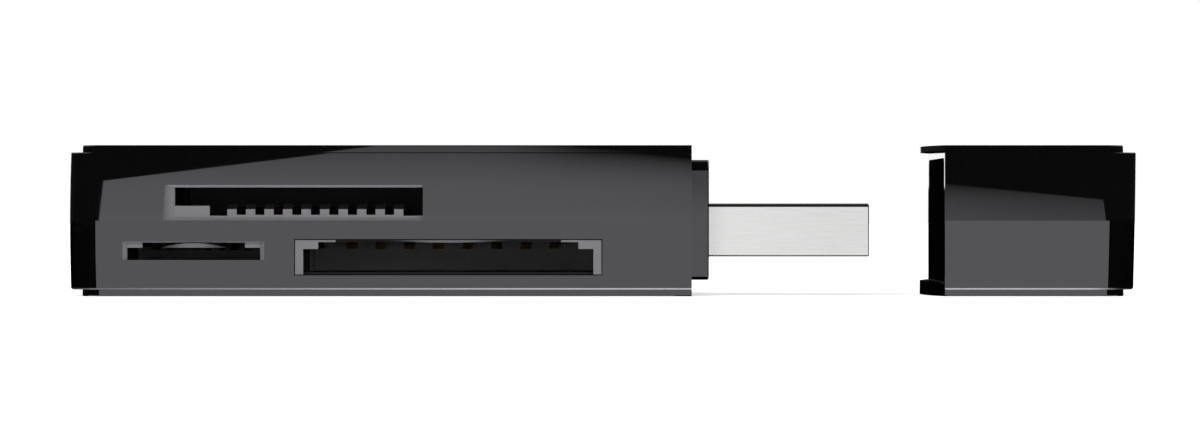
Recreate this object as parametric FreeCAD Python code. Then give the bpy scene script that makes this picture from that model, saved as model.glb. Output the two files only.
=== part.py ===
import FreeCAD, Part
import math
import os

V = FreeCAD.Vector

# A stick-shaped memory card reader with its pull-off cap standing apart, in millimetres.
# X runs along the stick towards the plug and the cap, Y across it, Z up.
# The three card slots open through the side wall at -Y. The origin is under the middle.

# Overall form
width = 28.0
height = 12.6
body_length = 52.0
cap_length = 16.1
cap_pull = 21.1

# Cover plates on the two broad faces
top_plate_thickness = 0.6
bottom_plate_thickness = 0.55
plate_end_step = 1.1
plate_side_inset = 0.1
plate_corner_radius = 1.5
plate_edge_bevel = 0.08
top_plate_lean = 0.023

# Shells
parting_height = 6.3
shell_corner_radius = 2.3
side_lean = 0.25
lower_edge_bevel = 0.13
upper_edge_bevel = 0.07
body_end_insets = (0.09, 0.0, 0.09)
cap_end_insets = (0.23, 0.09, 0.0)
side_wall = 1.2
cap_end_wall = 0.58
floor_thickness = 0.6
roof_thickness = 0.45
cavity_corner_radius = 0.7
lip_height = 0.45
lip_thickness = 0.5
lip_clearance = 0.05

# Mouth of the body and of the cap, bowed in plan
mouth_bow = 1.35
cap_lip_clearance = 0.12
cap_floor_clearance = 0.12

# Collar that the cap pushes on to
collar_stand = 1.45
collar_side_clearance = 0.12
collar_top_clearance = 0.17
collar_floor_clearance = 0.2
collar_top_radius = 0.9
collar_bottom_radius = 0.35
collar_front_bevel = 0.1
collar_flange_length = 1.4
collar_flange_setback = 0.15
collar_wall = 1.3

# Plug
plug_width = 12.0
plug_height = 4.5
plug_reach = 15.1
plug_length = 18.6
plug_axis_height = 5.5
plug_sheet = 0.3
plug_corner_radius = 0.3
plug_least_radius = 0.1
plug_seam = 0.08
plug_front_bevel = 0.08
plug_window_length = 2.0
plug_window_width = 2.5
plug_window_from_front = 5.2
plug_window_spacing = 5.1
plug_leg_length = 2.0
plug_leg_height = 2.0
plug_hole_clearance = 0.05
tongue_height = 1.84
tongue_setback = 0.6
tongue_back_length = 2.9
plug_contact_width = 1.0
plug_contact_sheet = 0.2
plug_contact_proud = 0.06
plug_contact_offsets = (3.5, 1.0, -1.0, -3.5)
plug_outer_contact_setback = 1.2
plug_inner_contact_setback = 2.2
plug_contact_foot = 1.3

# Circuit board
board_underside = 4.95
board_thickness = 1.0
board_edge_clearance = 0.2
board_end_clearance = 0.4
board_corner_cut = 0.8

# Posts that hold the board between the shells
post_radius = 1.2
post_pin_radius = 0.6
post_pin_height = 0.5
post_hole_clearance = 0.08
post_from_end = 4.6
post_spacing = 10.5
post_side_room = 1.8
front_post_side_room = 3.3

# Card sockets: what all three share
socket_wall_gap = 0.1
nose_recess = 0.15
shield_sheet = 0.2
shield_skirt_share = 0.55
shield_tab_length_share = 0.2
shield_tab_width_share = 0.33
shield_tab_slit = 0.3
contact_sheet = 0.16
contact_foot_length = 0.65
contact_foot_gap = 0.25
contact_wall_bend = 0.3
contact_tip_length = 0.7
contact_tip_lift = 0.25
lower_gap_shares = (0.3122, 0.1338)

# Full-size card socket, under the board
large_window_low = 1.74
large_window_high = 4.77
large_nose_wall = 0.67
large_nose_clearance = 0.08
large_card_width = 24.2
large_raised_width = 21.7
large_step_height = 3.94
large_roof = 0.27
large_floor = 0.25
large_side = 1.0
large_stop_from_back = 6.5
large_back_wall = 2.0
large_contact_count = 8
large_contact_pitch = 2.5
large_contact_width = 0.9
large_contact_reach = 3.6
large_strip_depth = 0.17
large_strip_length = 1.45
large_set_back = 0.8
large_scoop_half_width = 5.5
large_scoop_drop = 0.22

# Thumbnail-size card socket, under the board
small_outer_width = 11.8
small_card_width = 11.1
small_raised_width = 8.57
small_floor_height = 3.02
small_step_height = 4.05
small_ceiling_height = 4.475
small_mouth_bevel = 0.35
small_mouth_top_bevel = 0.08
small_mouth_depth = 0.4
small_floor = 0.27
small_side = 1.2
small_depth = 15.4
small_back_wall = 1.7
small_contact_count = 8
small_contact_pitch = 1.1
small_contact_width = 0.5
small_contact_reach = 2.8
small_contact_bend = 0.2
small_scoop_half_width = 2.75
small_scoop_rise = 0.38

# Stick-card socket, on top of the board
stick_middle_from_end = 19.23
stick_card_width = 20.7
stick_floor_height = 6.575
stick_ceiling_height = 9.075
stick_mouth_left_bevel = 0.98
stick_mouth_top_bevel = 0.25
stick_mouth_bottom_bevel = 0.24
stick_mouth_depth = 0.6
stick_side = 1.2
stick_roof = 0.5
stick_stop_from_back = 7.4
stick_back_wall = 2.0
key_block_width = 2.9
key_block_height = 0.965
comb_count = 10
comb_pitch = 1.546
comb_tooth_width = 0.77
comb_first_tooth_from_left = 4.38
comb_base_run = 0.5
comb_end_height = 0.135
comb_gap_height = 0.215
comb_tooth_height = 0.685
comb_ramp_height = 1.115
comb_ramp_start = 0.9
comb_ramp_length = 2.4
key_block_length = 4.8
stick_contact_width = 0.6
stick_contact_reach = 4.4
stick_contact_rise = 0.65

# Parts on the board
chip_side = 7.0
chip_height = 0.9
chip_standoff = 0.1
chip_lead_count = 8
chip_lead_width = 0.3
chip_lead_sheet = 0.15
chip_lead_reach = 0.9
chip_corner_cut = 0.1
lead_bend_high = 0.4
lead_bend_low = 0.6
small_lead_reach = 0.63
crystal_length = 5.0
crystal_width = 3.2
crystal_height = 0.8
crystal_lid_height = 0.25
crystal_rim = 0.18
regulator_length = 2.9
regulator_width = 1.6
regulator_height = 1.0
capacitor_count = 3
capacitor_length = 2.0
capacitor_width = 1.25
capacitor_height = 0.8
resistor_count = 2
resistor_length = 1.6
resistor_width = 0.8
resistor_height = 0.45
end_band_share = 0.22
end_band_proud = 0.03
regulator_leg_shares = (0.2, 0.8)
component_row_gap = 1.3

# Places along the stick, worked out from the lengths above
total_length = body_length + cap_pull + cap_length
body_end_x = -total_length / 2
body_mouth_x = body_end_x + body_length
cap_mouth_x = body_mouth_x + cap_pull
cap_end_x = cap_mouth_x + cap_length

# Heights of the shells, worked out from the plates and walls
half_width = width / 2
shell_low = bottom_plate_thickness
shell_high = height - top_plate_thickness
cavity_low = shell_low + floor_thickness
cavity_high = shell_high - roof_thickness
cavity_half = half_width - side_wall
wall_inside_y = -cavity_half
socket_front_y = wall_inside_y + socket_wall_gap
board_top = board_underside + board_thickness

# How far a cutter reaches past what it cuts, and what counts as no length at all
eps = 1.0
tiny = 1e-6

# Places of the sockets. The two lower ones share the bay between the closed end and the
# collar: each takes its own width, and what is left is divided into three gaps.
large_depth = width - large_stop_from_back
stick_depth = width - stick_stop_from_back
large_window_width = large_card_width + 2 * (large_nose_wall + large_nose_clearance)
large_outer_half = large_card_width / 2 + large_side + shield_sheet
small_outer_half = small_card_width / 2 + small_side + shield_sheet
lower_bay_start = body_end_x + side_wall
lower_bay_end = body_mouth_x - mouth_bow - collar_flange_setback - collar_flange_length
lower_bay_free = lower_bay_end - lower_bay_start - 2 * (large_outer_half + small_outer_half)
small_middle_x = lower_bay_start + lower_gap_shares[0] * lower_bay_free + small_outer_half
large_middle_x = small_middle_x + small_outer_half + lower_gap_shares[1] * lower_bay_free + large_outer_half
stick_middle_x = body_end_x + stick_middle_from_end


def box(x0, x1, y0, y1, z0, z1):
    """A block between two corners."""
    return Part.makeBox(x1 - x0, y1 - y0, z1 - z0, V(x0, y0, z0))


def prism(points, direction):
    """A straight prism on a closed outline of points."""
    wire = Part.makePolygon(list(points) + [points[0]])
    return Part.Face(wire).extrude(direction)


def line(a, b):
    return Part.LineSegment(a, b).toShape()


def arc(a, middle, b):
    return Part.Arc(a, middle, b).toShape()


def plan_wire(end_x, mouth_x, half, radius, bow, z):
    """The outline seen from above: two round corners at the closed end, and at the mouth
    an edge that bows towards -X by the given amount."""
    way = 1 if end_x > mouth_x else -1
    corner_x = end_x - way * radius
    middle = radius * (1 - math.sqrt(0.5))
    edges = [
        line(V(mouth_x, -half, z), V(corner_x, -half, z)),
        arc(V(corner_x, -half, z), V(end_x - way * middle, -half + middle, z), V(end_x, -half + radius, z)),
        line(V(end_x, -half + radius, z), V(end_x, half - radius, z)),
        arc(V(end_x, half - radius, z), V(end_x - way * middle, half - middle, z), V(corner_x, half, z)),
        line(V(corner_x, half, z), V(mouth_x, half, z)),
    ]
    if bow:
        edges.append(arc(V(mouth_x, half, z), V(mouth_x - bow, 0, z), V(mouth_x, -half, z)))
    else:
        edges.append(line(V(mouth_x, half, z), V(mouth_x, -half, z)))
    return Part.Wire(edges)


def plan_block(end_x, mouth_x, half, radius, bow, z0, z1, low_bevel=0.0, high_bevel=0.0, lean=0.0):
    """A block with the plan outline. Its outer faces lean in by the given amount from bottom
    to top, and its outer edges are bevelled below or above."""
    way = 1 if end_x > mouth_x else -1

    def outline(inset, z):
        return plan_wire(end_x - way * inset, mouth_x, half - inset, radius - inset, bow, z)

    main = Part.makeLoft([outline(0, z0 + low_bevel), outline(lean, z1 - high_bevel)], True, True)
    if low_bevel:
        main = main.fuse(Part.makeLoft([outline(low_bevel, z0), outline(0, z0 + low_bevel)], True, True))
    if high_bevel:
        edge = [outline(lean, z1 - high_bevel), outline(lean + high_bevel, z1)]
        main = main.fuse(Part.makeLoft(edge, True, True))
    return main.removeSplitter()


def bow_segment(mouth_x, z0, z1):
    """The slice between the straight mouth plane and the bowed mouth edge."""
    a = V(mouth_x, -half_width, z0)
    b = V(mouth_x, half_width, z0)
    wire = Part.Wire([line(a, b), arc(b, V(mouth_x - mouth_bow, 0, z0), a)])
    return Part.Face(wire).extrude(V(0, 0, z1 - z0))


def shell_form(end_x, mouth_x, end_insets, z0, z1, side_insets, low_bevel=0.0, high_bevel=0.0):
    """One half of the outside, lofted through three outlines and bevelled below or above.
    The closed end follows a curve through three insets at the shells' low, middle and high
    edges, and each side follows its own three insets between z0 and z1."""
    way = 1 if end_x > mouth_x else -1

    def end_inset(z):
        t = (z - shell_low) / (shell_high - shell_low)
        low, middle, high = end_insets
        return low * (1 - t) * (1 - 2 * t) + middle * 4 * t * (1 - t) + high * t * (2 * t - 1)

    def outline(z, side_inset, bevel_inset):
        return plan_wire(end_x - way * (end_inset(z) + bevel_inset), mouth_x - way * eps,
                         half_width - side_inset - bevel_inset, shell_corner_radius - bevel_inset, 0, z)

    base = z0 + low_bevel
    crown = z1 - high_bevel
    heights = [base, (base + crown) / 2, crown]
    form = Part.makeLoft([outline(z, inset, 0) for z, inset in zip(heights, side_insets)], True, False)
    if low_bevel:
        form = form.fuse(Part.makeLoft([outline(z0, 0, low_bevel), outline(base, 0, 0)], True, True))
    if high_bevel:
        edge = [outline(crown, side_insets[-1], 0), outline(z1, side_insets[-1], high_bevel)]
        form = form.fuse(Part.makeLoft(edge, True, True))
    x0, x1 = sorted((mouth_x, end_x + way * eps))
    return form.common(box(x0, x1, -width, width, z0, z1))


def cavity_form(end_x, mouth_x, end_wall, radius):
    """The room inside, with its two long upper edges rounded."""
    way = 1 if end_x > mouth_x else -1
    room = Part.Face(plan_wire(end_x - way * end_wall, mouth_x, cavity_half, radius, 0, cavity_low))
    room = room.extrude(V(0, 0, cavity_high - cavity_low))
    section = box(-total_length, total_length, -cavity_half, cavity_half, cavity_low, cavity_high)
    return room.common(round_long_edges(section, cavity_high, cavity_corner_radius))


def round_long_edges(solid, z, radius):
    """Rounds the edges that run along X at one height."""
    edges = [e for e in solid.Edges if is_along_x(e) and abs(e.BoundBox.ZMin - z) < tiny]
    return solid.makeFillet(radius, edges)


def is_along_x(edge):
    b = edge.BoundBox
    return b.XLength > tiny and b.YLength < tiny and b.ZLength < tiny


def ring_lip(end_x, mouth_x, end_wall, outward, z0, z1):
    """A thin upright ring just outside the room, open at the mouth."""
    way = 1 if end_x > mouth_x else -1
    inner_radius = shell_corner_radius - side_wall
    outer = Part.Face(plan_wire(end_x - way * (end_wall - outward), mouth_x, cavity_half + outward,
                                inner_radius + outward, 0, z0))
    inner = Part.Face(plan_wire(end_x - way * end_wall, mouth_x, cavity_half, inner_radius, 0, z0))
    return outer.extrude(V(0, 0, z1 - z0)).cut(inner.extrude(V(0, 0, z1 - z0)))


def post_places():
    """Where the board is held: two posts at the closed end and two beside the plug."""
    rear_y = cavity_half - post_side_room
    front_x = (large_middle_x + large_outer_half + lower_bay_end) / 2
    front_y = cavity_half - front_post_side_room
    rear_x = body_end_x + post_from_end
    return [(rear_x, rear_y), (rear_x + post_spacing, rear_y), (front_x, front_y), (front_x, -front_y)]


def cylinder(radius, x, y, z0, z1):
    return Part.makeCylinder(radius, z1 - z0, V(x, y, z0))


def fuse_all(first, others):
    others = list(others)
    if not others:
        return first
    return first.multiFuse(others).removeSplitter()


def cut_all(first, others):
    others = list(others)
    if not others:
        return first
    return first.cut(others)


# Windows in the side wall


def rectangle_wire(x0, x1, z0, z1, y):
    return Part.makePolygon([V(x0, y, z0), V(x1, y, z0), V(x1, y, z1), V(x0, y, z1), V(x0, y, z0)])


def stick_window():
    """The stick-card slot: a straight slot with a wide bevel on its left and narrow ones
    above and below."""
    left = stick_middle_x - stick_card_width / 2
    right = stick_middle_x + stick_card_width / 2
    outer = rectangle_wire(left - stick_mouth_left_bevel, right,
                           stick_floor_height - stick_mouth_bottom_bevel,
                           stick_ceiling_height + stick_mouth_top_bevel, -half_width)
    inner = rectangle_wire(left, right, stick_floor_height, stick_ceiling_height,
                           -half_width + stick_mouth_depth)
    funnel = Part.makeLoft([outer, inner], True, True)
    slot = box(left, right, -half_width - eps, wall_inside_y + eps, stick_floor_height, stick_ceiling_height)
    return slot.fuse(funnel)


def large_window():
    """The full-size card slot: a plain rectangle that the socket's nose fills."""
    half = large_window_width / 2
    return box(large_middle_x - half, large_middle_x + half, -half_width - eps, wall_inside_y + eps,
               large_window_low, large_window_high)


def small_window():
    """The thumbnail-size card slot: a stepped slot inside a bevelled mouth."""
    half = small_outer_width / 2
    outer = rectangle_wire(small_middle_x - half, small_middle_x + half, small_floor_height,
                           small_ceiling_height + small_mouth_top_bevel, -half_width)
    half_in = half - small_mouth_bevel
    inner = rectangle_wire(small_middle_x - half_in, small_middle_x + half_in, small_floor_height,
                           small_ceiling_height, -half_width + small_mouth_depth)
    funnel = Part.makeLoft([outer, inner], True, True)
    return funnel.fuse(small_card_room(-half_width - eps, wall_inside_y + eps)).removeSplitter()


def small_card_room(y0, y1):
    """The stepped space of a thumbnail-size card."""
    wide = small_card_width / 2
    raised = small_raised_width / 2
    low = box(small_middle_x - wide, small_middle_x + wide, y0, y1, small_floor_height, small_step_height)
    high = box(small_middle_x - raised, small_middle_x + raised, y0, y1,
               small_step_height, small_ceiling_height)
    return low.fuse(high).removeSplitter()


def large_card_room(y0, y1):
    """The stepped space of a full-size card."""
    wide = large_card_width / 2
    raised = large_raised_width / 2
    floor = large_window_low + large_floor
    ceiling = board_underside - large_roof
    low = box(large_middle_x - wide, large_middle_x + wide, y0, y1, floor, large_step_height)
    high = box(large_middle_x - raised, large_middle_x + raised, y0, y1, large_step_height, ceiling)
    return low.fuse(high).removeSplitter()


# Shells and plates of the body


def upper_form(end_x, mouth_x, end_insets):
    """Above the parting line each side leans in towards the top plate. Its upper edge is broken."""
    side_insets = (0, side_lean / 2, side_lean)
    return shell_form(end_x, mouth_x, end_insets, parting_height, shell_high, side_insets,
                      high_bevel=upper_edge_bevel)


def lower_form(end_x, mouth_x, end_insets):
    """Below the parting line the sides stand upright, with a narrow bevel above the bottom plate."""
    return shell_form(end_x, mouth_x, end_insets, shell_low, parting_height, (0, 0, 0),
                      low_bevel=lower_edge_bevel)


def body_cavity():
    return cavity_form(body_end_x, body_mouth_x, side_wall, shell_corner_radius - side_wall)


def upper_shell():
    shell = upper_form(body_end_x, body_mouth_x, body_end_insets).cut(body_cavity())
    rebate = ring_lip(body_end_x, body_mouth_x, side_wall, lip_thickness + lip_clearance,
                      parting_height - eps, parting_height + lip_height + lip_clearance)
    shell = cut_all(shell, [rebate, stick_window()])
    bosses = []
    for x, y in post_places():
        tube = cylinder(post_radius, x, y, board_top, cavity_high + roof_thickness / 2)
        hole = cylinder(post_pin_radius + post_hole_clearance, x, y, board_top - eps,
                        board_top + post_pin_height + post_hole_clearance)
        bosses.append(tube.cut(hole))
    return fuse_all(shell, bosses)


def lower_shell():
    shell = lower_form(body_end_x, body_mouth_x, body_end_insets).cut(body_cavity())
    shell = shell.cut(bow_segment(body_mouth_x, shell_low, cavity_low + cap_floor_clearance))
    lip = ring_lip(body_end_x, body_mouth_x, side_wall, lip_thickness, parting_height - lip_height,
                   parting_height + lip_height)
    half = stick_card_width / 2 + lip_thickness
    slot_room = box(stick_middle_x - half, stick_middle_x + half, -half_width, wall_inside_y + eps,
                    parting_height, parting_height + lip_height + eps)
    shell = shell.fuse(lip.cut(slot_room)).removeSplitter()
    shell = cut_all(shell, [large_window(), small_window()])
    posts = []
    for x, y in post_places():
        posts.append(cylinder(post_radius, x, y, cavity_low - floor_thickness / 2, board_underside))
        posts.append(cylinder(post_pin_radius, x, y, board_underside - eps, board_top + post_pin_height))
    return fuse_all(shell, posts)


def top_cover_plate():
    half = half_width - side_lean - plate_side_inset
    return plan_block(body_end_x + plate_end_step, body_mouth_x, half, plate_corner_radius, mouth_bow,
                      shell_high, height, 0, plate_edge_bevel, top_plate_lean)


def bottom_cover_plate():
    half = half_width - plate_side_inset
    return plan_block(body_end_x + plate_end_step, body_mouth_x, half, plate_corner_radius, mouth_bow,
                      0, shell_low, plate_edge_bevel, 0)


# Shells and plates of the cap


def cap_cavity():
    return cavity_form(cap_end_x - cap_end_insets[0], cap_mouth_x, cap_end_wall,
                       shell_corner_radius - cap_end_wall)


def cap_upper_shell():
    return upper_form(cap_end_x, cap_mouth_x, cap_end_insets).cut(cap_cavity())


def cap_lower_shell():
    shell = lower_form(cap_end_x, cap_mouth_x, cap_end_insets).cut(cap_cavity())
    return shell.fuse(bow_segment(cap_mouth_x, shell_low, cavity_low)).removeSplitter()


def cap_top_plate():
    half = half_width - side_lean - plate_side_inset
    plate = plan_block(cap_end_x - plate_end_step, cap_mouth_x, half, plate_corner_radius, mouth_bow,
                       shell_high, height, 0, plate_edge_bevel, top_plate_lean)
    relief = box(cap_mouth_x - 2 * mouth_bow, cap_mouth_x, -width, width, shell_high - eps,
                 shell_high + cap_lip_clearance)
    return plate.cut(relief)


def cap_bottom_plate():
    half = half_width - plate_side_inset
    return plan_block(cap_end_x - plate_end_step, cap_mouth_x, half, plate_corner_radius, mouth_bow,
                      0, shell_low, plate_edge_bevel, 0)


# Collar and plug


def plug_section(x, inset, clearance=0.0):
    """The plug's rounded rectangle at one place, smaller by an inset or larger by a clearance."""
    half_y = plug_width / 2 - inset + clearance
    half_z = plug_height / 2 - inset + clearance
    radius = max(plug_corner_radius - inset + clearance, plug_least_radius)
    y_in = half_y - radius
    z_in = half_z - radius
    z = plug_axis_height
    k = radius * math.sqrt(0.5)
    edges = []
    for sy, sz in ((1, 1), (-1, 1), (-1, -1), (1, -1)):
        side = V(x, sy * half_y, z + sz * z_in)
        corner = V(x, sy * (y_in + k), z + sz * (z_in + k))
        broad = V(x, sy * y_in, z + sz * half_z)
        edges.append(arc(side, corner, broad))
    edges.append(line(V(x, y_in, z + half_z), V(x, -y_in, z + half_z)))
    edges.append(line(V(x, y_in, z - half_z), V(x, -y_in, z - half_z)))
    edges.append(line(V(x, half_y, z - z_in), V(x, half_y, z + z_in)))
    edges.append(line(V(x, -half_y, z - z_in), V(x, -half_y, z + z_in)))
    return Part.Wire(Part.__sortEdges__(edges))


def plug_bar(x0, x1, inset, clearance=0.0):
    return Part.Face(plug_section(x0, inset, clearance)).extrude(V(x1 - x0, 0, 0))


def plug_front_x():
    return body_mouth_x + plug_reach


def plug_rear_x():
    return plug_front_x() - plug_length


def plug_collar():
    """The neck that stands out of the mouth, with a flange that the shells clamp."""
    neck_half = cavity_half - collar_side_clearance
    neck_low = cavity_low + collar_floor_clearance
    neck_high = cavity_high - collar_top_clearance
    flange_front = body_mouth_x - mouth_bow - collar_flange_setback
    flange_rear = flange_front - collar_flange_length
    front = body_mouth_x + collar_stand
    bevel = collar_front_bevel

    def neck_bar(x0, x1, inset):
        bar = box(x0, x1, -neck_half + inset, neck_half - inset, neck_low + inset, neck_high - inset)
        bar = round_long_edges(bar, neck_high - inset, collar_top_radius - inset)
        return round_long_edges(bar, neck_low + inset, collar_bottom_radius - inset)

    neck = neck_bar(flange_rear, front - bevel, 0)
    nose = neck_bar(front - bevel - eps, front, bevel)
    tip = Part.makeLoft([face_outline(neck_bar(front - bevel, front, 0), front - bevel),
                         face_outline(nose, front)], True, True)
    flange = body_cavity().common(box(flange_rear, flange_front, -width, width, 0, height))
    collar = fuse_all(neck, [tip, flange])
    pocket = box(flange_rear - eps, front - collar_wall, -neck_half + collar_wall, neck_half - collar_wall,
                 neck_low + collar_wall, neck_high - collar_wall)
    sleeve = plug_bar(flange_rear - eps, front, 0, collar_wall)
    collar = collar.cut(pocket.cut(sleeve))
    return collar.cut(plug_bar(flange_rear - eps, front + eps, 0, plug_hole_clearance))


def face_outline(solid, x):
    """The outer wire of the face that lies at one x."""
    faces = [f for f in solid.Faces if f.BoundBox.XLength < tiny and abs(f.BoundBox.XMin - x) < tiny]
    return faces[0].OuterWire


def plug_shell():
    """The folded sheet shell: four latch windows, a seam below and two legs into the board."""
    front = plug_front_x()
    rear = plug_rear_x()
    bevel = plug_front_bevel
    outside = plug_bar(rear, front - bevel, 0)
    outside = outside.fuse(Part.makeLoft([plug_section(front - bevel, 0), plug_section(front, bevel / 2)],
                                         True, True))
    shell = outside.cut(plug_bar(rear - eps, front + eps, plug_sheet))
    window_x = front - plug_window_from_front - plug_window_length
    cutters = []
    for side in (-1, 1):
        y = side * plug_window_spacing / 2
        cutters.append(box(window_x, window_x + plug_window_length, y - plug_window_width / 2,
                           y + plug_window_width / 2, plug_axis_height - plug_height,
                           plug_axis_height + plug_height))
    cutters.append(box(rear - eps, front + eps, -plug_seam / 2, plug_seam / 2,
                       plug_axis_height - plug_height, plug_axis_height))
    shell = cut_all(shell, cutters)
    legs = [leg_box(side, 0) for side in (-1, 1)]
    return fuse_all(shell, legs)


def leg_box(side, clearance):
    """One leg of the plug's shell, or with a clearance the board's slot for it."""
    rear = plug_rear_x()
    outer = plug_width / 2
    y0, y1 = sorted((side * (outer - plug_sheet - clearance), side * (outer + clearance)))
    z_middle = board_underside + board_thickness / 2
    return box(rear - plug_leg_length - clearance, rear + plug_sheet, y0, y1,
               z_middle - plug_leg_height / 2 - clearance, z_middle + plug_leg_height / 2 + clearance)


def tongue_top():
    return plug_axis_height - plug_height / 2 + plug_sheet + tongue_height


def plug_insulator():
    """The moulded tongue in the lower half of the plug, with its block at the back."""
    rear = plug_rear_x()
    inside = plug_bar(rear, plug_front_x() - tongue_setback, plug_sheet)
    keep_low = box(rear - eps, plug_front_x(), -width, width, 0, tongue_top())
    keep_back = box(rear - eps, rear + tongue_back_length, -width, width, 0, height)
    tongue = inside.common(keep_low.fuse(keep_back))
    return cut_all(tongue, [plug_contact(i) for i in range(len(plug_contact_offsets))])


def bent_strip(path, thickness, to_point, across):
    """A flat strip of even thickness bent along a path of (along, up) points."""
    normals = []
    for (a0, b0), (a1, b1) in zip(path, path[1:]):
        length = math.hypot(a1 - a0, b1 - b0)
        normals.append((-(b1 - b0) / length, (a1 - a0) / length))
    one_side = []
    other_side = []
    for i, (a, b) in enumerate(path):
        n0 = normals[max(i - 1, 0)]
        n1 = normals[min(i, len(normals) - 1)]
        stretch = thickness / 2 / (1 + n0[0] * n1[0] + n0[1] * n1[1])
        da = (n0[0] + n1[0]) * stretch
        db = (n0[1] + n1[1]) * stretch
        one_side.append(to_point(a + da, b + db))
        other_side.append(to_point(a - da, b - db))
    return prism(one_side + other_side[::-1], across)


def plug_contact(index):
    """One plug contact: flat on the tongue, then up at the back to its foot on the board."""
    y = plug_contact_offsets[index]
    is_outer = abs(y) == max(abs(o) for o in plug_contact_offsets)
    setback = plug_outer_contact_setback if is_outer else plug_inner_contact_setback
    low = tongue_top() + plug_contact_proud - plug_contact_sheet / 2
    high = board_top + plug_contact_sheet / 2
    rear = plug_rear_x()
    board_end = board_front_x()
    rise_end = board_end + plug_contact_sheet
    path = [(plug_front_x() - tongue_setback - setback, low), (rise_end + high - low, low),
            (rise_end, high), (board_end - plug_contact_foot, high)]
    return bent_strip(path, plug_contact_sheet, lambda a, b: V(a, y - plug_contact_width / 2, b),
                      V(0, plug_contact_width, 0))


# Board and what stands on it


def board_front_x():
    return plug_rear_x() - board_end_clearance


def circuit_board():
    rear_x = body_end_x + side_wall + board_edge_clearance
    half = cavity_half - board_edge_clearance
    board = box(rear_x, board_front_x(), -half, half, board_underside, board_top)
    upright = [e for e in board.Edges if e.BoundBox.ZLength > board_thickness / 2]
    board = board.makeChamfer(board_corner_cut, upright)
    holes = [cylinder(post_pin_radius + post_hole_clearance, x, y, 0, height) for x, y in post_places()]
    slots = [leg_box(side, plug_hole_clearance) for side in (-1, 1)]
    return cut_all(board, holes + slots)


def component_origin():
    """The board's free area between the stick-card socket and the plug."""
    return stick_middle_x + stick_card_width / 2 + stick_side + shield_sheet + component_row_gap


def lead_path(edge, way, reach, middle, foot):
    """A lead that leaves a package at half height and bends down to its foot on the board."""
    return [(edge - way * chip_lead_sheet, middle), (edge + way * reach * lead_bend_high, middle),
            (edge + way * reach * lead_bend_low, foot), (edge + way * reach, foot)]


def controller_chip():
    """A moulded package with a row of bent leads on two sides."""
    x0 = component_origin() + chip_lead_reach
    y0 = -chip_side / 2
    low = board_top + chip_standoff
    body = box(x0, x0 + chip_side, y0, y0 + chip_side, low, low + chip_height)
    upright = [e for e in body.Edges if e.BoundBox.ZLength > chip_height / 2]
    body = body.makeChamfer(chip_corner_cut, upright)
    middle = low + chip_height / 2
    foot = board_top + chip_lead_sheet / 2
    pitch = chip_side / (chip_lead_count + 1)
    leads = []
    for i in range(chip_lead_count):
        y = y0 + (i + 1) * pitch - chip_lead_width / 2
        for edge, way in ((x0, -1), (x0 + chip_side, 1)):
            path = lead_path(edge, way, chip_lead_reach, middle, foot)
            leads.append(bent_strip(path, chip_lead_sheet, lambda a, b: V(a, y, b),
                                    V(0, chip_lead_width, 0)))
    return fuse_all(body, leads)


def crystal():
    """A metal can: a base with a slightly smaller lid."""
    x0 = component_origin() + chip_lead_reach
    y0 = chip_side / 2 + component_row_gap
    rim = crystal_rim
    base = box(x0, x0 + crystal_length, y0, y0 + crystal_width, board_top,
               board_top + crystal_height - crystal_lid_height)
    lid = box(x0 + rim, x0 + crystal_length - rim, y0 + rim, y0 + crystal_width - rim,
              board_top, board_top + crystal_height)
    return base.fuse(lid).removeSplitter()


def regulator():
    """A three-legged package beside the crystal."""
    x0 = component_origin() + chip_lead_reach
    y0 = -chip_side / 2 - component_row_gap - regulator_width - chip_lead_reach
    body = box(x0, x0 + regulator_length, y0, y0 + regulator_width, board_top + chip_lead_sheet / 2,
               board_top + regulator_height)
    middle = board_top + regulator_height / 2
    foot = board_top + chip_lead_sheet / 2
    legs = []
    near = y0
    far = y0 + regulator_width
    for share, edge, way in ((regulator_leg_shares[0], near, -1), (regulator_leg_shares[1], near, -1),
                             (sum(regulator_leg_shares) / 2, far, 1)):
        x = x0 + regulator_length * share
        path = lead_path(edge, way, small_lead_reach, middle, foot)
        legs.append(bent_strip(path, chip_lead_sheet, lambda a, b: V(x - chip_lead_width / 2, a, b),
                               V(chip_lead_width, 0, 0)))
    return fuse_all(body, legs)


def end_banded_block(x0, y0, length, across, tall):
    """A small ceramic block whose two end bands stand slightly proud."""
    band = length * end_band_share
    proud = end_band_proud
    core = box(x0, x0 + length, y0 + proud, y0 + across - proud, board_top, board_top + tall - proud)
    ends = [box(x0, x0 + band, y0, y0 + across, board_top, board_top + tall),
            box(x0 + length - band, x0 + length, y0, y0 + across, board_top, board_top + tall)]
    return fuse_all(core, ends)


def capacitor(index):
    """One of the capacitors in a row past the crystal."""
    x0 = component_origin() + index * (capacitor_length + component_row_gap)
    y0 = chip_side / 2 + component_row_gap + crystal_width + component_row_gap
    return end_banded_block(x0, y0, capacitor_length, capacitor_width, capacitor_height)


def resistor(index):
    """One of the resistors in a row past the regulator, clear of the plug's legs."""
    x0 = (component_origin() + chip_lead_reach + regulator_length + component_row_gap
          + index * (resistor_length + component_row_gap))
    y0 = -plug_width / 2 - component_row_gap - resistor_width
    return end_banded_block(x0, y0, resistor_length, resistor_width, resistor_height)


# Card sockets


def side_wall_y(depth):
    """A place in the side wall, measured inwards from its face."""
    return -half_width + depth


def segment_bar(middle_x, half, flat_z, rise, y0, y1):
    """A bar with one flat face and one arched face, the edge of a finger scoop."""
    a = V(middle_x - half, y0, flat_z)
    b = V(middle_x + half, y0, flat_z)
    wire = Part.Wire([line(a, b), arc(b, V(middle_x, y0, flat_z + rise), a)])
    return Part.Face(wire).extrude(V(0, y1 - y0, 0))


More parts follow.
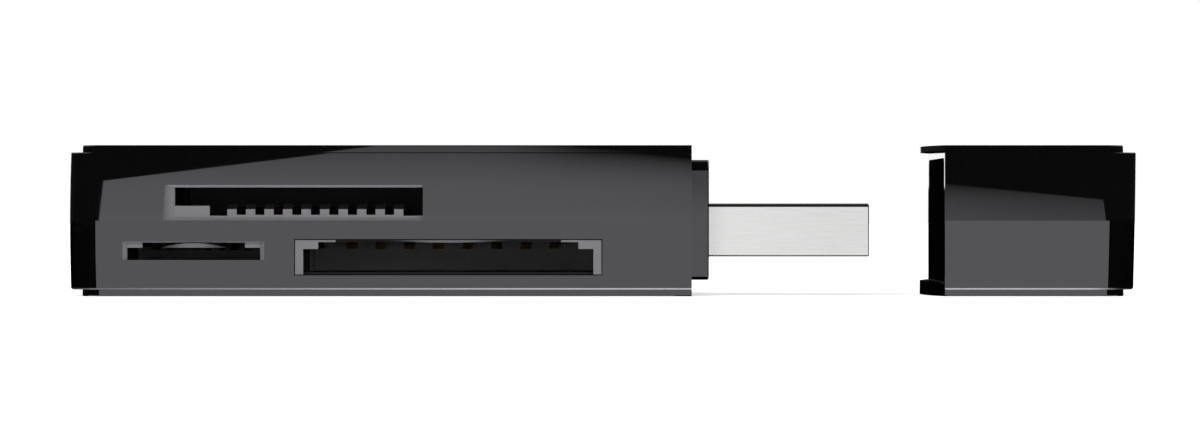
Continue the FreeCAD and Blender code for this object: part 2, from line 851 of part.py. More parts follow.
def contact_root(rear, foot, inside):
    """The start of every card contact: a foot on the board, then the bend into the back wall."""
    bend = rear + contact_foot_gap
    return [(bend + contact_foot_length, foot), (bend, foot), (rear - contact_wall_bend, inside)]


def large_rear_y():
    return side_wall_y(large_depth) + large_back_wall


def large_contact_places():
    first = large_middle_x - large_contact_pitch * (large_contact_count - 1) / 2
    return [first + i * large_contact_pitch for i in range(large_contact_count)]


def large_card_contact(index):
    """A spring that comes out of the back wall under the ceiling and bends down to the card."""
    x = large_contact_places()[index]
    rear = large_rear_y()
    stop = side_wall_y(large_depth)
    foot = board_underside - contact_sheet / 2
    inside = board_underside - large_roof - contact_sheet
    touch = stop - large_contact_reach
    tip = (touch - contact_tip_length, large_step_height + contact_tip_lift)
    path = contact_root(rear, foot, inside) + [(stop, inside), (touch, large_step_height), tip]
    return bent_strip(path, contact_sheet, lambda a, b: V(x - large_contact_width / 2, a, b),
                      V(large_contact_width, 0, 0))


def large_card_housing():
    """The full-size card socket's moulding, with its nose in the window of the side wall."""
    half = large_card_width / 2 + large_side
    low = large_window_low
    block = box(large_middle_x - half, large_middle_x + half, socket_front_y, large_rear_y(),
                low, board_underside)
    nose_half = large_window_width / 2 - large_nose_clearance
    nose_front = side_wall_y(nose_recess)
    nose_set_back = side_wall_y(large_set_back)
    nose_high = large_window_high - large_nose_clearance
    nose = box(large_middle_x - nose_half, large_middle_x + nose_half, nose_front, socket_front_y,
               low + large_nose_clearance, nose_high)
    room = large_card_room(nose_front - eps, side_wall_y(large_depth))
    raised = large_raised_width / 2
    strip_low = nose_high - large_strip_depth
    middle_half = raised - large_strip_length
    set_back = box(large_middle_x - middle_half, large_middle_x + middle_half,
                   nose_front - eps, nose_set_back, large_step_height, height)
    sill = box(large_middle_x - large_card_width / 2, large_middle_x + large_card_width / 2,
               nose_front - eps, nose_set_back, 0, low + large_floor + eps)
    strips = box(large_middle_x - raised, large_middle_x + raised, nose_front, socket_front_y,
                 strip_low, nose_high)
    strips = strips.cut(set_back)
    scoop = segment_bar(large_middle_x, large_scoop_half_width, nose_high, -large_scoop_drop,
                        nose_front, nose_set_back + socket_wall_gap)
    housing = fuse_all(block, [nose])
    housing = cut_all(housing, [room, set_back, sill])
    housing = fuse_all(housing, [strips, scoop])
    return cut_all(housing, [large_card_contact(i) for i in range(large_contact_count)])


def shield(middle_x, half, y0, y1, z_flat, outward, skirt):
    """A folded sheet cover: a flat plate with two side skirts.
    It lies below the housing where outward is -1, and above it where outward is 1."""
    z0, z1 = sorted((z_flat, z_flat + outward * shield_sheet))
    plate = box(middle_x - half - shield_sheet, middle_x + half + shield_sheet, y0, y1, z0, z1)
    s0, s1 = sorted((z_flat, z_flat - outward * skirt))
    skirts = [box(middle_x - half - shield_sheet, middle_x - half, y0, y1, s0, s1),
              box(middle_x + half, middle_x + half + shield_sheet, y0, y1, s0, s1)]
    sheet = fuse_all(plate, skirts)
    tab_half = half * shield_tab_width_share / 2
    tab_length = (y1 - y0) * shield_tab_length_share
    root_y = (y0 + y1 - tab_length) / 2
    cuts = []
    for way in (-1, 1):
        x = middle_x + way * half / 2
        outer = box(x - tab_half, x + tab_half, root_y, root_y + tab_length, z0 - eps, z1 + eps)
        tab = box(x - tab_half + shield_tab_slit, x + tab_half - shield_tab_slit, root_y - eps,
                  root_y + tab_length - shield_tab_slit, z0 - eps, z1 + eps)
        cuts.append(outer.cut(tab))
    return cut_all(sheet, cuts)


def large_card_shield():
    half = large_card_width / 2 + large_side
    skirt = (board_underside - large_window_low) * shield_skirt_share
    return shield(large_middle_x, half, socket_front_y, large_rear_y(), large_window_low, -1, skirt)


def small_rear_y():
    return side_wall_y(small_depth) + small_back_wall


def small_contact_places():
    first = small_middle_x - small_contact_pitch * (small_contact_count - 1) / 2
    return [first + i * small_contact_pitch for i in range(small_contact_count)]


def small_card_contact(index):
    x = small_contact_places()[index]
    rear = small_rear_y()
    stop = side_wall_y(small_depth)
    foot = board_underside - contact_sheet / 2
    inside = small_ceiling_height - contact_sheet
    touch = stop - small_contact_reach
    low = small_step_height - small_contact_bend
    tip = (touch - contact_tip_length, low + contact_tip_lift)
    path = contact_root(rear, foot, inside) + [(stop, inside), (touch, low), tip]
    return bent_strip(path, contact_sheet, lambda a, b: V(x - small_contact_width / 2, a, b),
                      V(small_contact_width, 0, 0))


def small_low_z():
    return small_floor_height - small_floor


def small_card_housing():
    """The thumbnail-size card socket's moulding, with an arched lip in the raised part of the slot."""
    half = small_card_width / 2 + small_side
    block = box(small_middle_x - half, small_middle_x + half, socket_front_y, small_rear_y(), small_low_z(),
                board_underside)
    room = small_card_room(socket_front_y - eps, side_wall_y(small_depth))
    lip = segment_bar(small_middle_x, small_scoop_half_width, small_step_height, small_scoop_rise,
                      side_wall_y(nose_recess), socket_front_y + 2 * side_wall)
    bridge = box(small_middle_x - small_scoop_half_width / 2, small_middle_x + small_scoop_half_width / 2,
                 socket_front_y, socket_front_y + 2 * side_wall, small_step_height + small_scoop_rise / 2,
                 small_ceiling_height)
    housing = fuse_all(block.cut(room), [lip, bridge])
    return cut_all(housing, [small_card_contact(i) for i in range(small_contact_count)])


def small_card_shield():
    half = small_card_width / 2 + small_side
    skirt = (board_underside - small_low_z()) * shield_skirt_share
    return shield(small_middle_x, half, socket_front_y, small_rear_y(), small_low_z(), -1, skirt)


def stick_rear_y():
    return side_wall_y(stick_depth) + stick_back_wall


def stick_left_x():
    return stick_middle_x - stick_card_width / 2


def comb_tooth_places():
    """The left edge of each tooth of the comb."""
    return [stick_left_x() + comb_first_tooth_from_left + i * comb_pitch for i in range(comb_count)]


def comb_nose():
    """The comb in the slot's lower edge: a key block, a low sill and a row of teeth,
    each tooth with a ramp behind it that guides one spring."""
    front = side_wall_y(stick_mouth_depth)
    sill = stick_floor_height
    left = stick_left_x()
    right = left + stick_card_width
    base_rear = socket_front_y + comb_base_run
    pieces = [box(left, right, front, base_rear, sill, sill + comb_end_height),
              box(left, left + key_block_width, front, front + key_block_length, sill,
                  sill + key_block_height)]
    places = comb_tooth_places()
    pieces.append(box(places[0], places[-1] + comb_tooth_width, front, base_rear, sill,
                      sill + comb_gap_height))
    ramp_start = front + comb_ramp_start
    ramp_end = ramp_start + comb_ramp_length
    for x in places:
        profile = [V(x, front, sill), V(x, front, sill + comb_tooth_height),
                   V(x, ramp_start, sill + comb_tooth_height),
                   V(x, ramp_start + comb_ramp_start, sill + comb_ramp_height),
                   V(x, ramp_end, sill + comb_ramp_height), V(x, ramp_end + comb_ramp_start, sill)]
        pieces.append(prism(profile, V(comb_tooth_width, 0, 0)))
    return pieces


def stick_card_contact(index):
    """A spring in line with one tooth, from its foot on the board into the card's room."""
    x = comb_tooth_places()[index] + comb_tooth_width / 2
    rear = stick_rear_y()
    stop = side_wall_y(stick_depth)
    foot = board_top + contact_sheet / 2
    inside = stick_floor_height + contact_sheet
    touch = stop - stick_contact_reach
    high = inside + stick_contact_rise
    tip = (touch - contact_tip_length, high - contact_tip_lift)
    path = contact_root(rear, foot, inside) + [(stop, inside), (touch, high), tip]
    return bent_strip(path, contact_sheet, lambda a, b: V(x - stick_contact_width / 2, a, b),
                      V(stick_contact_width, 0, 0))


def stick_card_housing():
    """The stick-card socket's moulding with its contact comb."""
    half = stick_card_width / 2 + stick_side
    block = box(stick_middle_x - half, stick_middle_x + half, socket_front_y, stick_rear_y(), board_top,
                stick_ceiling_height + stick_roof)
    room = box(stick_middle_x - stick_card_width / 2, stick_middle_x + stick_card_width / 2,
               socket_front_y - eps, side_wall_y(stick_depth), stick_floor_height, stick_ceiling_height)
    housing = fuse_all(block.cut(room), comb_nose())
    return cut_all(housing, [stick_card_contact(i) for i in range(comb_count)])


def stick_card_shield():
    half = stick_card_width / 2 + stick_side
    high = stick_ceiling_height + stick_roof
    skirt = (high - board_top) * shield_skirt_share
    return shield(stick_middle_x, half, socket_front_y, stick_rear_y(), high, 1, skirt)


def all_pieces():
    """Every separate piece, by its name."""
    pieces = {
        "upper_shell": upper_shell(),
        "lower_shell": lower_shell(),
        "top_cover_plate": top_cover_plate(),
        "bottom_cover_plate": bottom_cover_plate(),
        "plug_collar": plug_collar(),
        "plug_shell": plug_shell(),
        "plug_insulator": plug_insulator(),
        "circuit_board": circuit_board(),
        "controller_chip": controller_chip(),
        "crystal": crystal(),
        "regulator": regulator(),
        "large_card_housing": large_card_housing(),
        "large_card_shield": large_card_shield(),
        "small_card_housing": small_card_housing(),
        "small_card_shield": small_card_shield(),
        "stick_card_housing": stick_card_housing(),
        "stick_card_shield": stick_card_shield(),
        "cap_upper_shell": cap_upper_shell(),
        "cap_lower_shell": cap_lower_shell(),
        "cap_top_plate": cap_top_plate(),
        "cap_bottom_plate": cap_bottom_plate(),
    }
    rows = [
        ("plug_contact", len(plug_contact_offsets), plug_contact),
        ("large_card_contact", large_contact_count, large_card_contact),
        ("small_card_contact", small_contact_count, small_card_contact),
        ("stick_card_contact", comb_count, stick_card_contact),
        ("capacitor", capacitor_count, capacitor),
        ("resistor", resistor_count, resistor),
    ]
    for name, count, make in rows:
        for i in range(count):
            pieces["%s_%d" % (name, i + 1)] = make(i)
    return pieces


def main():
    os.makedirs("parts", exist_ok=True)
    for name, shape in all_pieces().items():
        shape.exportStep("parts/%s.step" % name)
        print("%-24s solids %d  volume %.2f" % (name, len(shape.Solids), shape.Volume))


main()
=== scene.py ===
# %% [markdown]
# # A memory card reader and its cap
#
# A glossy black stick lies on a white table with its three card slots towards us. Its cap is
# pulled off and lies to the right, in line with the plug. The shapes come from the packed
# model, so this script is mostly about light, about what each surface is made of, and about
# the small things that a plain solid lacks.

# %% Open the frame
import math

import bmesh
import bpy
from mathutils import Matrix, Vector


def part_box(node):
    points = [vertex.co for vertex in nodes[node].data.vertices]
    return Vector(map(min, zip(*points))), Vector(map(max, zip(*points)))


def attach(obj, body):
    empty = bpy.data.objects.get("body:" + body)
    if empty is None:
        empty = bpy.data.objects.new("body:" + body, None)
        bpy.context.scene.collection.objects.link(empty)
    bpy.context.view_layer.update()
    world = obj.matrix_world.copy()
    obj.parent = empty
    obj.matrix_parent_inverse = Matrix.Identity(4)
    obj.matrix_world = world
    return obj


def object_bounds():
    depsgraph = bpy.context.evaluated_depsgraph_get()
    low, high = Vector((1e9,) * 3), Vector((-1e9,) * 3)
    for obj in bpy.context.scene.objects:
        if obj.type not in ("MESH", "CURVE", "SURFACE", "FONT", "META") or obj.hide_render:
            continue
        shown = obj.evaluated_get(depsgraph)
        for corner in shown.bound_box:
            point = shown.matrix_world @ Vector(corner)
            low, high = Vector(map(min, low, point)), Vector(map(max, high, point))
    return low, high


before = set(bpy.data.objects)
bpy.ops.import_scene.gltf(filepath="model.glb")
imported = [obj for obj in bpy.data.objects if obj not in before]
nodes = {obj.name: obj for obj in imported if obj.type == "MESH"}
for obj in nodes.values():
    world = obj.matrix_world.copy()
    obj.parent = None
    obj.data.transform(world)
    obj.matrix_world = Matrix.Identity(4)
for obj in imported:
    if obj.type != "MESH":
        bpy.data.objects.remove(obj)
cad_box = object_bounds()
MM = 0.001
print("nodes:", len(nodes), "box in mm:", [tuple(round(v / MM, 2) for v in corner) for corner in cad_box])

# %% [markdown]
# ## The camera
#
# The slots are seen square on and almost no perspective shows, so the picture was taken with
# a long lens from about half a metre. A camera is described by what it covers: here a strip
# 100 mm wide in the plane of the near side. The lens follows from that width, the distance
# and the sensor.

# %% Camera
SENSOR_WIDTH = 36.0
NEAR_SIDE_Y = cad_box[0].y
VIEW_WIDTH = 100.0 * MM
VIEW_DISTANCE = 545.0 * MM
VIEW_MIDDLE_X = -0.25 * MM
VIEW_MIDDLE_Z = 7.15 * MM
NEAREST_SEEN = 0.01
FARTHEST_SEEN = 50.0

camera_data = bpy.data.cameras.new("camera")
camera_data.sensor_width = SENSOR_WIDTH
camera_data.lens = SENSOR_WIDTH * VIEW_DISTANCE / VIEW_WIDTH
camera_data.clip_start = NEAREST_SEEN
camera_data.clip_end = FARTHEST_SEEN
camera = bpy.data.objects.new("camera", camera_data)
bpy.context.scene.collection.objects.link(camera)
camera.location = (VIEW_MIDDLE_X, NEAR_SIDE_Y - VIEW_DISTANCE, VIEW_MIDDLE_Z)
camera.rotation_euler = (math.radians(90), 0, 0)
bpy.context.scene.camera = camera
bpy.context.scene.view_settings.view_transform = "Standard"
print("lens in mm:", round(camera_data.lens, 1))

# %% [markdown]
# ## Small helpers for node trees
#
# Every finish below is a short node tree. These helpers keep the trees readable. The first ones
# start a material, add a node and join two sockets.

# %% Node helpers
def new_finish(name):
    """A material with just its Principled shader."""
    material = bpy.data.materials.new(name)
    material.use_nodes = True
    return material, material.node_tree, material.node_tree.nodes["Principled BSDF"]


def bare_material(name):
    """A material with an empty tree, for the studio's own surfaces."""
    material = bpy.data.materials.new(name)
    material.use_nodes = True
    material.node_tree.nodes.clear()
    return material, material.node_tree


def add(tree, kind, inputs=None, **settings):
    """A node with some settings and input values."""
    node = tree.nodes.new(kind)
    for key, value in settings.items():
        setattr(node, key, value)
    for key, value in (inputs or {}).items():
        node.inputs[key].default_value = value
    return node


def join(tree, output, target):
    """A link from an output to an input."""
    tree.links.new(output, target)


def put(tree, target, value):
    """Fills an input with a number or with another node's output."""
    if isinstance(value, bpy.types.NodeSocket):
        join(tree, value, target)
    else:
        target.default_value = value


# %% [markdown]
# The next ones do sums. A share is a number from 0 to 1: product multiplies shares, rest_of
# turns one round, mix goes from one number to another by a share, and fade makes a smooth step
# out of a place.

# %% Sums
def calc(tree, operation, a, b=0.0, c=0.0):
    """One step of arithmetic."""
    node = add(tree, "ShaderNodeMath", operation=operation)
    for target, value in zip(node.inputs, (a, b, c)):
        put(tree, target, value)
    return node.outputs[0]


def product(tree, first, *others):
    """All the values multiplied together."""
    for value in others:
        first = calc(tree, "MULTIPLY", first, value)
    return first


def rest_of(tree, share):
    """What a share leaves of 1."""
    return calc(tree, "SUBTRACT", 1.0, share)


def mix(tree, share, a, b):
    """A number that goes from a to b as the share goes from 0 to 1."""
    return calc(tree, "MULTIPLY_ADD", share, calc(tree, "SUBTRACT", b, a), a)


def between(tree, value, span):
    """1 where a value lies between two limits, 0 elsewhere."""
    return product(tree, calc(tree, "GREATER_THAN", value, span[0]), calc(tree, "LESS_THAN", value, span[1]))


def fade(tree, value, span, levels=(0.0, 1.0)):
    """A smooth step over a span, from the first level to the second."""
    node = add(tree, "ShaderNodeMapRange", {"From Min": span[0], "From Max": span[1],
                                            "To Min": levels[0], "To Max": levels[1]},
               interpolation_type="SMOOTHSTEP")
    put(tree, node.inputs["Value"], value)
    return node.outputs["Result"]


# %% [markdown]
# The last ones deal with colour, with places and with relief. This plastic's grey has a very
# slight violet, and so has the light that it mirrors.

# %% Colour, place and relief
COOL_TINT = (0.985, 0.970, 1.030)


def grey(value):
    return (value, value, value, 1.0)


def cool_grey(value):
    return tuple(value * part for part in COOL_TINT) + (1.0,)


def blend(tree, share, a, b):
    """A colour between a and b."""
    node = add(tree, "ShaderNodeMix", data_type="RGBA")
    put(tree, node.inputs["Factor"], share)
    colour_inputs = [s for s in node.inputs if s.type == "RGBA"]
    put(tree, colour_inputs[0], a)
    put(tree, colour_inputs[1], b)
    return [s for s in node.outputs if s.type == "RGBA"][0]


def object_place(tree):
    """The point being shaded, in metres, in the object's own space."""
    return add(tree, "ShaderNodeTexCoord").outputs["Object"]


def split(tree, vector):
    """The three parts of a vector."""
    node = add(tree, "ShaderNodeSeparateXYZ")
    join(tree, vector, node.inputs[0])
    return node.outputs


def facing(tree):
    """The three parts of the direction in which the surface faces."""
    return split(tree, add(tree, "ShaderNodeNewGeometry").outputs["True Normal"])


def noise(tree, place, scale, detail=3.0, roughness=0.55, stretch=None):
    """Soft cloudy variation from 0 to 1. The scale is in features per metre."""
    if stretch:
        mapping = add(tree, "ShaderNodeMapping", {"Scale": stretch})
        join(tree, place, mapping.inputs["Vector"])
        place = mapping.outputs["Vector"]
    node = add(tree, "ShaderNodeTexNoise", {"Scale": scale, "Detail": detail, "Roughness": roughness})
    join(tree, place, node.inputs["Vector"])
    return node.outputs["Fac"]


def bump(tree, shader, height, distance, strength=1.0):
    """Fine relief: the distance is how deep the height's full range goes, in metres."""
    node = add(tree, "ShaderNodeBump", {"Strength": strength, "Distance": distance})
    join(tree, height, node.inputs["Height"])
    join(tree, node.outputs["Normal"], shader.inputs["Normal"])


# %% [markdown]
# ## The studio
#
# The background is plain white, yet the glossy sides are black with sharp-edged grey areas.
# What makes those areas is a white card behind the camera, seen in the plastic as in a mirror.
# The upper half of each side leans back a few degrees, so it mirrors the card's upper part,
# which is a low gable: that gives the slanting black corners. Sheets of card cut the same way
# are cheap in a studio, and in a render they are one flat face with an Emission shader.
#
# The lamp on the card stands low and to the left, so the card dims upwards and towards the
# right. To the left of the ridge its upper edge is sharp. To the right it curls away from the
# light, so there the card darkens slowly towards its edge, though less at the far right. How
# deep a point lies below the nearest upper edge comes from the same corners as the outline, one
# line for each edge.
#
# The card's places and heights are in millimetres. Where a name holds two pairs, the first
# tells between which places something changes, and the second from what level to what level.

# %% The card's numbers
CARD_DISTANCE = 1500.0 * MM
CARD_TOP = [(-156, 150.0), (-48, 163.2), (12, 158.7), (157.6, 144.0)]
CARD_FOOT = [(158.4, 137.5), (161, 100), (161, -30), (-160, -30), (-160, 100), (-157.4, 137.5)]
CARD_HALF_WIDTH = 160.0
CARD_TINT = cool_grey(1.0)
CURL_REACH = 4.0
SHARP_LEFT = ((-47, 0), (1.0, 0.05))
SHARP_RIGHT = ((90, 165), (0.05, 0.60))
UPPER_LEVEL = 0.98
FIRST_DIMMING = ((137, 143), (0, 0.09))
NEXT_DIMMING = ((146, 170), (0, 0.58))
ACROSS_UPPER = ((-10, 170), (1.0, 0.53))
ACROSS_LOWER = ((30, 110), (0.93, 0.98))
UPPER_SPAN = (60, 120)
print("corners of the card:", len(CARD_TOP + CARD_FOOT))

# %% [markdown]
# How bright the card is gets worked out at each of its points, and goes straight into the light
# that it gives off. Only mirror rays see it.

# %% The card behind the camera
def flat_piece(name, corners, material):
    """A single flat face, for the studio."""
    mesh = bpy.data.meshes.new(name)
    mesh.from_pydata(corners, [], [list(range(len(corners)))])
    mesh.materials.append(material)
    piece = bpy.data.objects.new(name, mesh)
    bpy.context.scene.collection.objects.link(piece)
    return piece


def glow(tree, colour, strength):
    """An Emission shader."""
    node = add(tree, "ShaderNodeEmission", {"Color": colour})
    join(tree, strength, node.inputs["Strength"])
    return node.outputs[0]


def show(tree, shader):
    """Makes a shader the material's surface."""
    join(tree, shader, add(tree, "ShaderNodeOutputMaterial").inputs["Surface"])


def depth_below_edges(tree, x, height):
    """How far, in millimetres, a point of the card lies below the gable's edges."""
    lowest = None
    for (x0, z0), (x1, z1) in zip(CARD_TOP, CARD_TOP[1:]):
        slope = (z1 - z0) / (x1 - x0)
        edge = calc(tree, "MULTIPLY_ADD", x, slope, z0 - slope * x0)
        lowest = edge if lowest is None else calc(tree, "MINIMUM", lowest, edge)
    return calc(tree, "SUBTRACT", lowest, height)


def card_finish():
    """How bright the card is at each point."""
    material, tree = bare_material("lit_card")
    x, _, z = split(tree, object_place(tree))
    x = calc(tree, "DIVIDE", x, MM)
    height = calc(tree, "DIVIDE", z, MM)
    depth = depth_below_edges(tree, x, height)
    curled = calc(tree, "EXPONENT", calc(tree, "MULTIPLY", depth, -1 / CURL_REACH))
    sharp = calc(tree, "MAXIMUM", fade(tree, x, *SHARP_LEFT), fade(tree, x, *SHARP_RIGHT))
    edge = rest_of(tree, product(tree, curled, rest_of(tree, sharp)))
    dimming = calc(tree, "ADD", fade(tree, height, *FIRST_DIMMING), fade(tree, height, *NEXT_DIMMING))
    lit = calc(tree, "SUBTRACT", UPPER_LEVEL, dimming)
    upper = product(tree, lit, edge, fade(tree, x, *ACROSS_UPPER))
    strength = mix(tree, fade(tree, height, UPPER_SPAN), fade(tree, x, *ACROSS_LOWER), upper)
    show(tree, glow(tree, CARD_TINT, strength))
    return material


card_y = NEAR_SIDE_Y - CARD_DISTANCE
card = flat_piece("card_behind_camera", [(x * MM, card_y, z * MM) for x, z in CARD_TOP + CARD_FOOT],
                  card_finish())
card.visible_camera = False
card.visible_diffuse = False
card.visible_shadow = False
print("made:", card.name)

# %% [markdown]
# ## The table and the room
#
# The camera has to see plain white all round, with only the object's own soft shadow on the
# table. The paper itself is a pale matt sheet, lit like any other, and a glow that only camera
# rays see lifts it to white. The glow grows away from the object, so no horizon shows.
#
# Mirror rays are told something else. Close to the object, and a little farther at its back, they see the
# lit paper. Farther off in front they see a white sheet that widens towards the camera, with dark cloth
# beside it. Under and behind the gap between plug and cap, the table is painted dark for mirror rays only,
# so that the cap's mouth stays black, and so is a patch behind the plug's root: painted shade in the
# reflections. Two small patches of the same painted shade lie in front. One is at the plug's neck, where it
# stands for the collar's shadow on the table, and the other is at the cap's mouth.
#
# The room is dark in front and right overhead. Straight behind it is white in two strips. High
# up on both sides and at the back it is pale, which gives the broad faces a soft sheen when
# they are seen from above.

# %% The table's numbers
FLOOR_HALF = 3.0
FLOOR_SINK = 0.02 * MM
FLOOR_COLOUR = 0.82
FIBRE_SCALE = 900.0
FIBRE_DEPTH = 0.02 * MM
FIBRE_STRENGTH = 0.15
NEAR_PAPER = 8.0 * MM
BACK_PAPER_SPAN = (25.0 * MM, 55.0 * MM)
PAPER_HALF_WIDTH = 43.0 * MM
PAPER_SPREAD = PAPER_HALF_WIDTH / VIEW_DISTANCE
# Patches of painted shade that only mirror rays see: under and behind the gap, at the neck, at the cap's
# mouth and behind the plug's root.
GAP_PAINTED_SHADE = ((6.0 * MM, 30.0 * MM), (-6.0 * MM, 130.0 * MM))
NECK_PAINTED_SHADE = ((6.0 * MM, 8.9 * MM), (-16.0 * MM, -6.0 * MM))
MOUTH_PAINTED_SHADE = ((24.5 * MM, 28.7 * MM), (-16.0 * MM, -6.0 * MM))
BACK_PAINTED_SHADE = ((-10.0 * MM, 6.0 * MM), (28.0 * MM, 130.0 * MM))
LIFT_FROM_X = 60.0 * MM
LIFT_SPAN = (40.0 * MM, 200.0 * MM)
FLOOR_LIFT = (0.62, 1.0)
print("table side in m:", 2 * FLOOR_HALF)

# %% [markdown]
# The table's finish asks what kind of ray has come. It answers with the lit paper, with paper
# lifted to white, or with the fields for mirror rays.

# %% The table
def mix_shaders(tree, share, a, b):
    node = add(tree, "ShaderNodeMixShader")
    for value, target in zip((share, a, b), node.inputs):
        join(tree, value, target)
    return node.outputs[0]


def ray_kinds(tree):
    """1 for camera rays, and 1 for rays that come from a glossy or a clear surface."""
    path = add(tree, "ShaderNodeLightPath").outputs
    return path["Is Camera Ray"], calc(tree, "MAXIMUM", path["Is Glossy Ray"], path["Is Transmission Ray"])


def floor_finish():
    """Matt paper, lifted to white for the camera, with plain white or dark fields for mirror rays where they
    aren't to see the paper. The dark patches near the object are painted shade that only mirror rays see."""
    material, tree = bare_material("table_paper")
    place = object_place(tree)
    x, y, _ = split(tree, place)
    off_x = calc(tree, "ABSOLUTE", x)
    off_y = calc(tree, "ABSOLUTE", y)
    reach = calc(tree, "MULTIPLY_ADD", off_y, PAPER_SPREAD, PAPER_HALF_WIDTH + NEAR_SIDE_Y * PAPER_SPREAD)
    within = calc(tree, "LESS_THAN", off_x, reach)
    # Where the table is painted dark for mirror rays only: painted shade in the object's reflections.
    on_painted_shade = 0.0
    for span_x, span_y in (GAP_PAINTED_SHADE, NECK_PAINTED_SHADE, MOUTH_PAINTED_SHADE, BACK_PAINTED_SHADE):
        here = product(tree, between(tree, x, span_x), between(tree, y, span_y))
        on_painted_shade = calc(tree, "MAXIMUM", on_painted_shade, here)
    off_painted_shade = rest_of(tree, on_painted_shade)
    is_near = calc(tree, "LESS_THAN", off_y, NEAR_PAPER)
    back_paper = product(tree, calc(tree, "GREATER_THAN", y, 0.0), fade(tree, y, BACK_PAPER_SPAN, (1, 0)))
    show_paper = product(tree, within, calc(tree, "MAXIMUM", is_near, back_paper), off_painted_shade)

    paper = add(tree, "ShaderNodeBsdfDiffuse", {"Color": grey(FLOOR_COLOUR)})
    bump(tree, paper, noise(tree, place, FIBRE_SCALE, 4.0), FIBRE_DEPTH, FIBRE_STRENGTH)
    away = calc(tree, "MAXIMUM", off_y, calc(tree, "SUBTRACT", off_x, LIFT_FROM_X))
    lifted = add(tree, "ShaderNodeAddShader")
    join(tree, paper.outputs[0], lifted.inputs[0])
    join(tree, glow(tree, grey(1.0), fade(tree, away, LIFT_SPAN, FLOOR_LIFT)), lifted.inputs[1])

    in_front = calc(tree, "LESS_THAN", y, 0.0)
    across = calc(tree, "MULTIPLY", calc(tree, "DIVIDE", x, reach), CARD_HALF_WIDTH)
    sheet = product(tree, within, in_front, off_painted_shade, fade(tree, across, *ACROSS_LOWER))
    from_camera, from_mirror = ray_kinds(tree)
    straight = mix_shaders(tree, from_camera, paper.outputs[0], lifted.outputs[0])
    show_fields = product(tree, from_mirror, rest_of(tree, show_paper))
    show(tree, mix_shaders(tree, show_fields, straight, glow(tree, CARD_TINT, sheet)))
    return material


floor_corners = [(side_x * FLOOR_HALF, side_y * FLOOR_HALF, -FLOOR_SINK)
                 for side_x, side_y in ((-1, -1), (1, -1), (1, 1), (-1, 1))]
floor = flat_piece("table", floor_corners, floor_finish())
print("made:", floor.name)

# %% [markdown]
# The room's numbers are parts of a direction: how far it points aside, away from the camera or
# up, where 1 is straight that way.

# %% The room
ROOM_SOFT_LIGHT = 0.62
ROOM_DARK = 0.012
BEHIND_SPAN = (0.985, 0.995)
BEHIND_STRIPS = ((-0.035, 0.035), (-0.060, -0.050))
HORIZON_SPAN = (0.0030, 0.0040)
SKY_LEVEL = 0.55
SKY_SIDE_SPAN = (0.15, 0.55)
SKY_HEIGHT_SPAN = (0.10, 0.45)
BACK_SKY_LEVEL = 0.40
BACK_SKY_AWAY_SPAN = (0.18, 0.55)
BACK_SKY_HEIGHT_SPAN = (0.25, 0.60)


def light_the_room():
    """White for the camera, and an even soft light for matt surfaces. Mirror rays see white
    straight behind the object, pale areas high up on both sides, and dark elsewhere."""
    world = bpy.data.worlds.new("room")
    bpy.context.scene.world = world
    world.use_nodes = True
    tree = world.node_tree
    tree.nodes.clear()
    aside, away, up = split(tree, add(tree, "ShaderNodeTexCoord").outputs["Generated"])
    strips = calc(tree, "ADD", *[between(tree, aside, strip) for strip in BEHIND_STRIPS])
    behind = product(tree, fade(tree, away, BEHIND_SPAN), strips, fade(tree, up, HORIZON_SPAN))
    side_sky = product(tree, fade(tree, calc(tree, "ABSOLUTE", aside), SKY_SIDE_SPAN, (0, SKY_LEVEL)),
                       fade(tree, up, SKY_HEIGHT_SPAN))
    back_sky = product(tree, fade(tree, away, BACK_SKY_AWAY_SPAN, (0, BACK_SKY_LEVEL)),
                       fade(tree, up, BACK_SKY_HEIGHT_SPAN))
    sky = calc(tree, "MAXIMUM", side_sky, back_sky)
    mirrored = calc(tree, "MAXIMUM", calc(tree, "MAXIMUM", behind, sky), ROOM_DARK)
    from_camera, from_mirror = ray_kinds(tree)
    level = mix(tree, from_camera, mix(tree, from_mirror, ROOM_SOFT_LIGHT, mirrored), 1.0)
    background = add(tree, "ShaderNodeBackground", {"Color": grey(1.0)})
    join(tree, level, background.inputs["Strength"])
    join(tree, background.outputs[0], add(tree, "ShaderNodeOutputWorld").inputs["Surface"])
    return world


print("world:", light_the_room().name)

# %% [markdown]
# Two broad lamps, out of sight of mirror rays, give the matt surfaces their soft shading and
# the object its shadow.

# %% Lamps
LAMP_AIM = Vector((0, 0, 0.006))
FRONT_PLACE = Vector((-0.25, -0.9, 0.55))
FRONT_SIZE = 0.6
FRONT_POWER = 5.0
FILL_PLACE = Vector((0.5, -0.7, 0.3))
FILL_SIZE = 0.5
FILL_POWER = 2.0


def soft_lamp(name, place, size, power):
    data = bpy.data.lights.new(name, "AREA")
    data.shape = "SQUARE"
    data.size = size
    data.energy = power
    lamp = bpy.data.objects.new(name, data)
    lamp.location = place
    lamp.rotation_euler = (LAMP_AIM - place).to_track_quat("-Z", "Y").to_euler()
    lamp.visible_glossy = False
    bpy.context.scene.collection.objects.link(lamp)


soft_lamp("front_lamp", FRONT_PLACE, FRONT_SIZE, FRONT_POWER)
soft_lamp("fill_lamp", FILL_PLACE, FILL_SIZE, FILL_POWER)

# %% [markdown]
# ## Glossy black plastic
#
# The casing is injection moulded in black and polished in the mould. Such plastic has almost
# no colour of its own: what we see is a mirror image, about 8 percent as bright as the thing
# it mirrors. A clear coat over the plastic's own gloss gives that. The relief is a very faint
# moulding ripple, and the gloss is broken a little by haze.
#
# Three places are not polished. The sloping walls of the three slots are left satin grey, with painted light
# and painted shade on some of them, and so is the narrow bevel low on the side, which shows as a light line:
# a painted highlight, the table as the bevel would mirror it. The small inner corner low in the cap's mouth
# is dull black. All are told from the polished faces by the way they face and by where they are.
#
# Each slot box below gives the middle, across and up, and then half of the width and height.

# %% Where the plastic is left satin
def middle_x(name):
    low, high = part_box(name)
    return (low.x + high.x) / 2


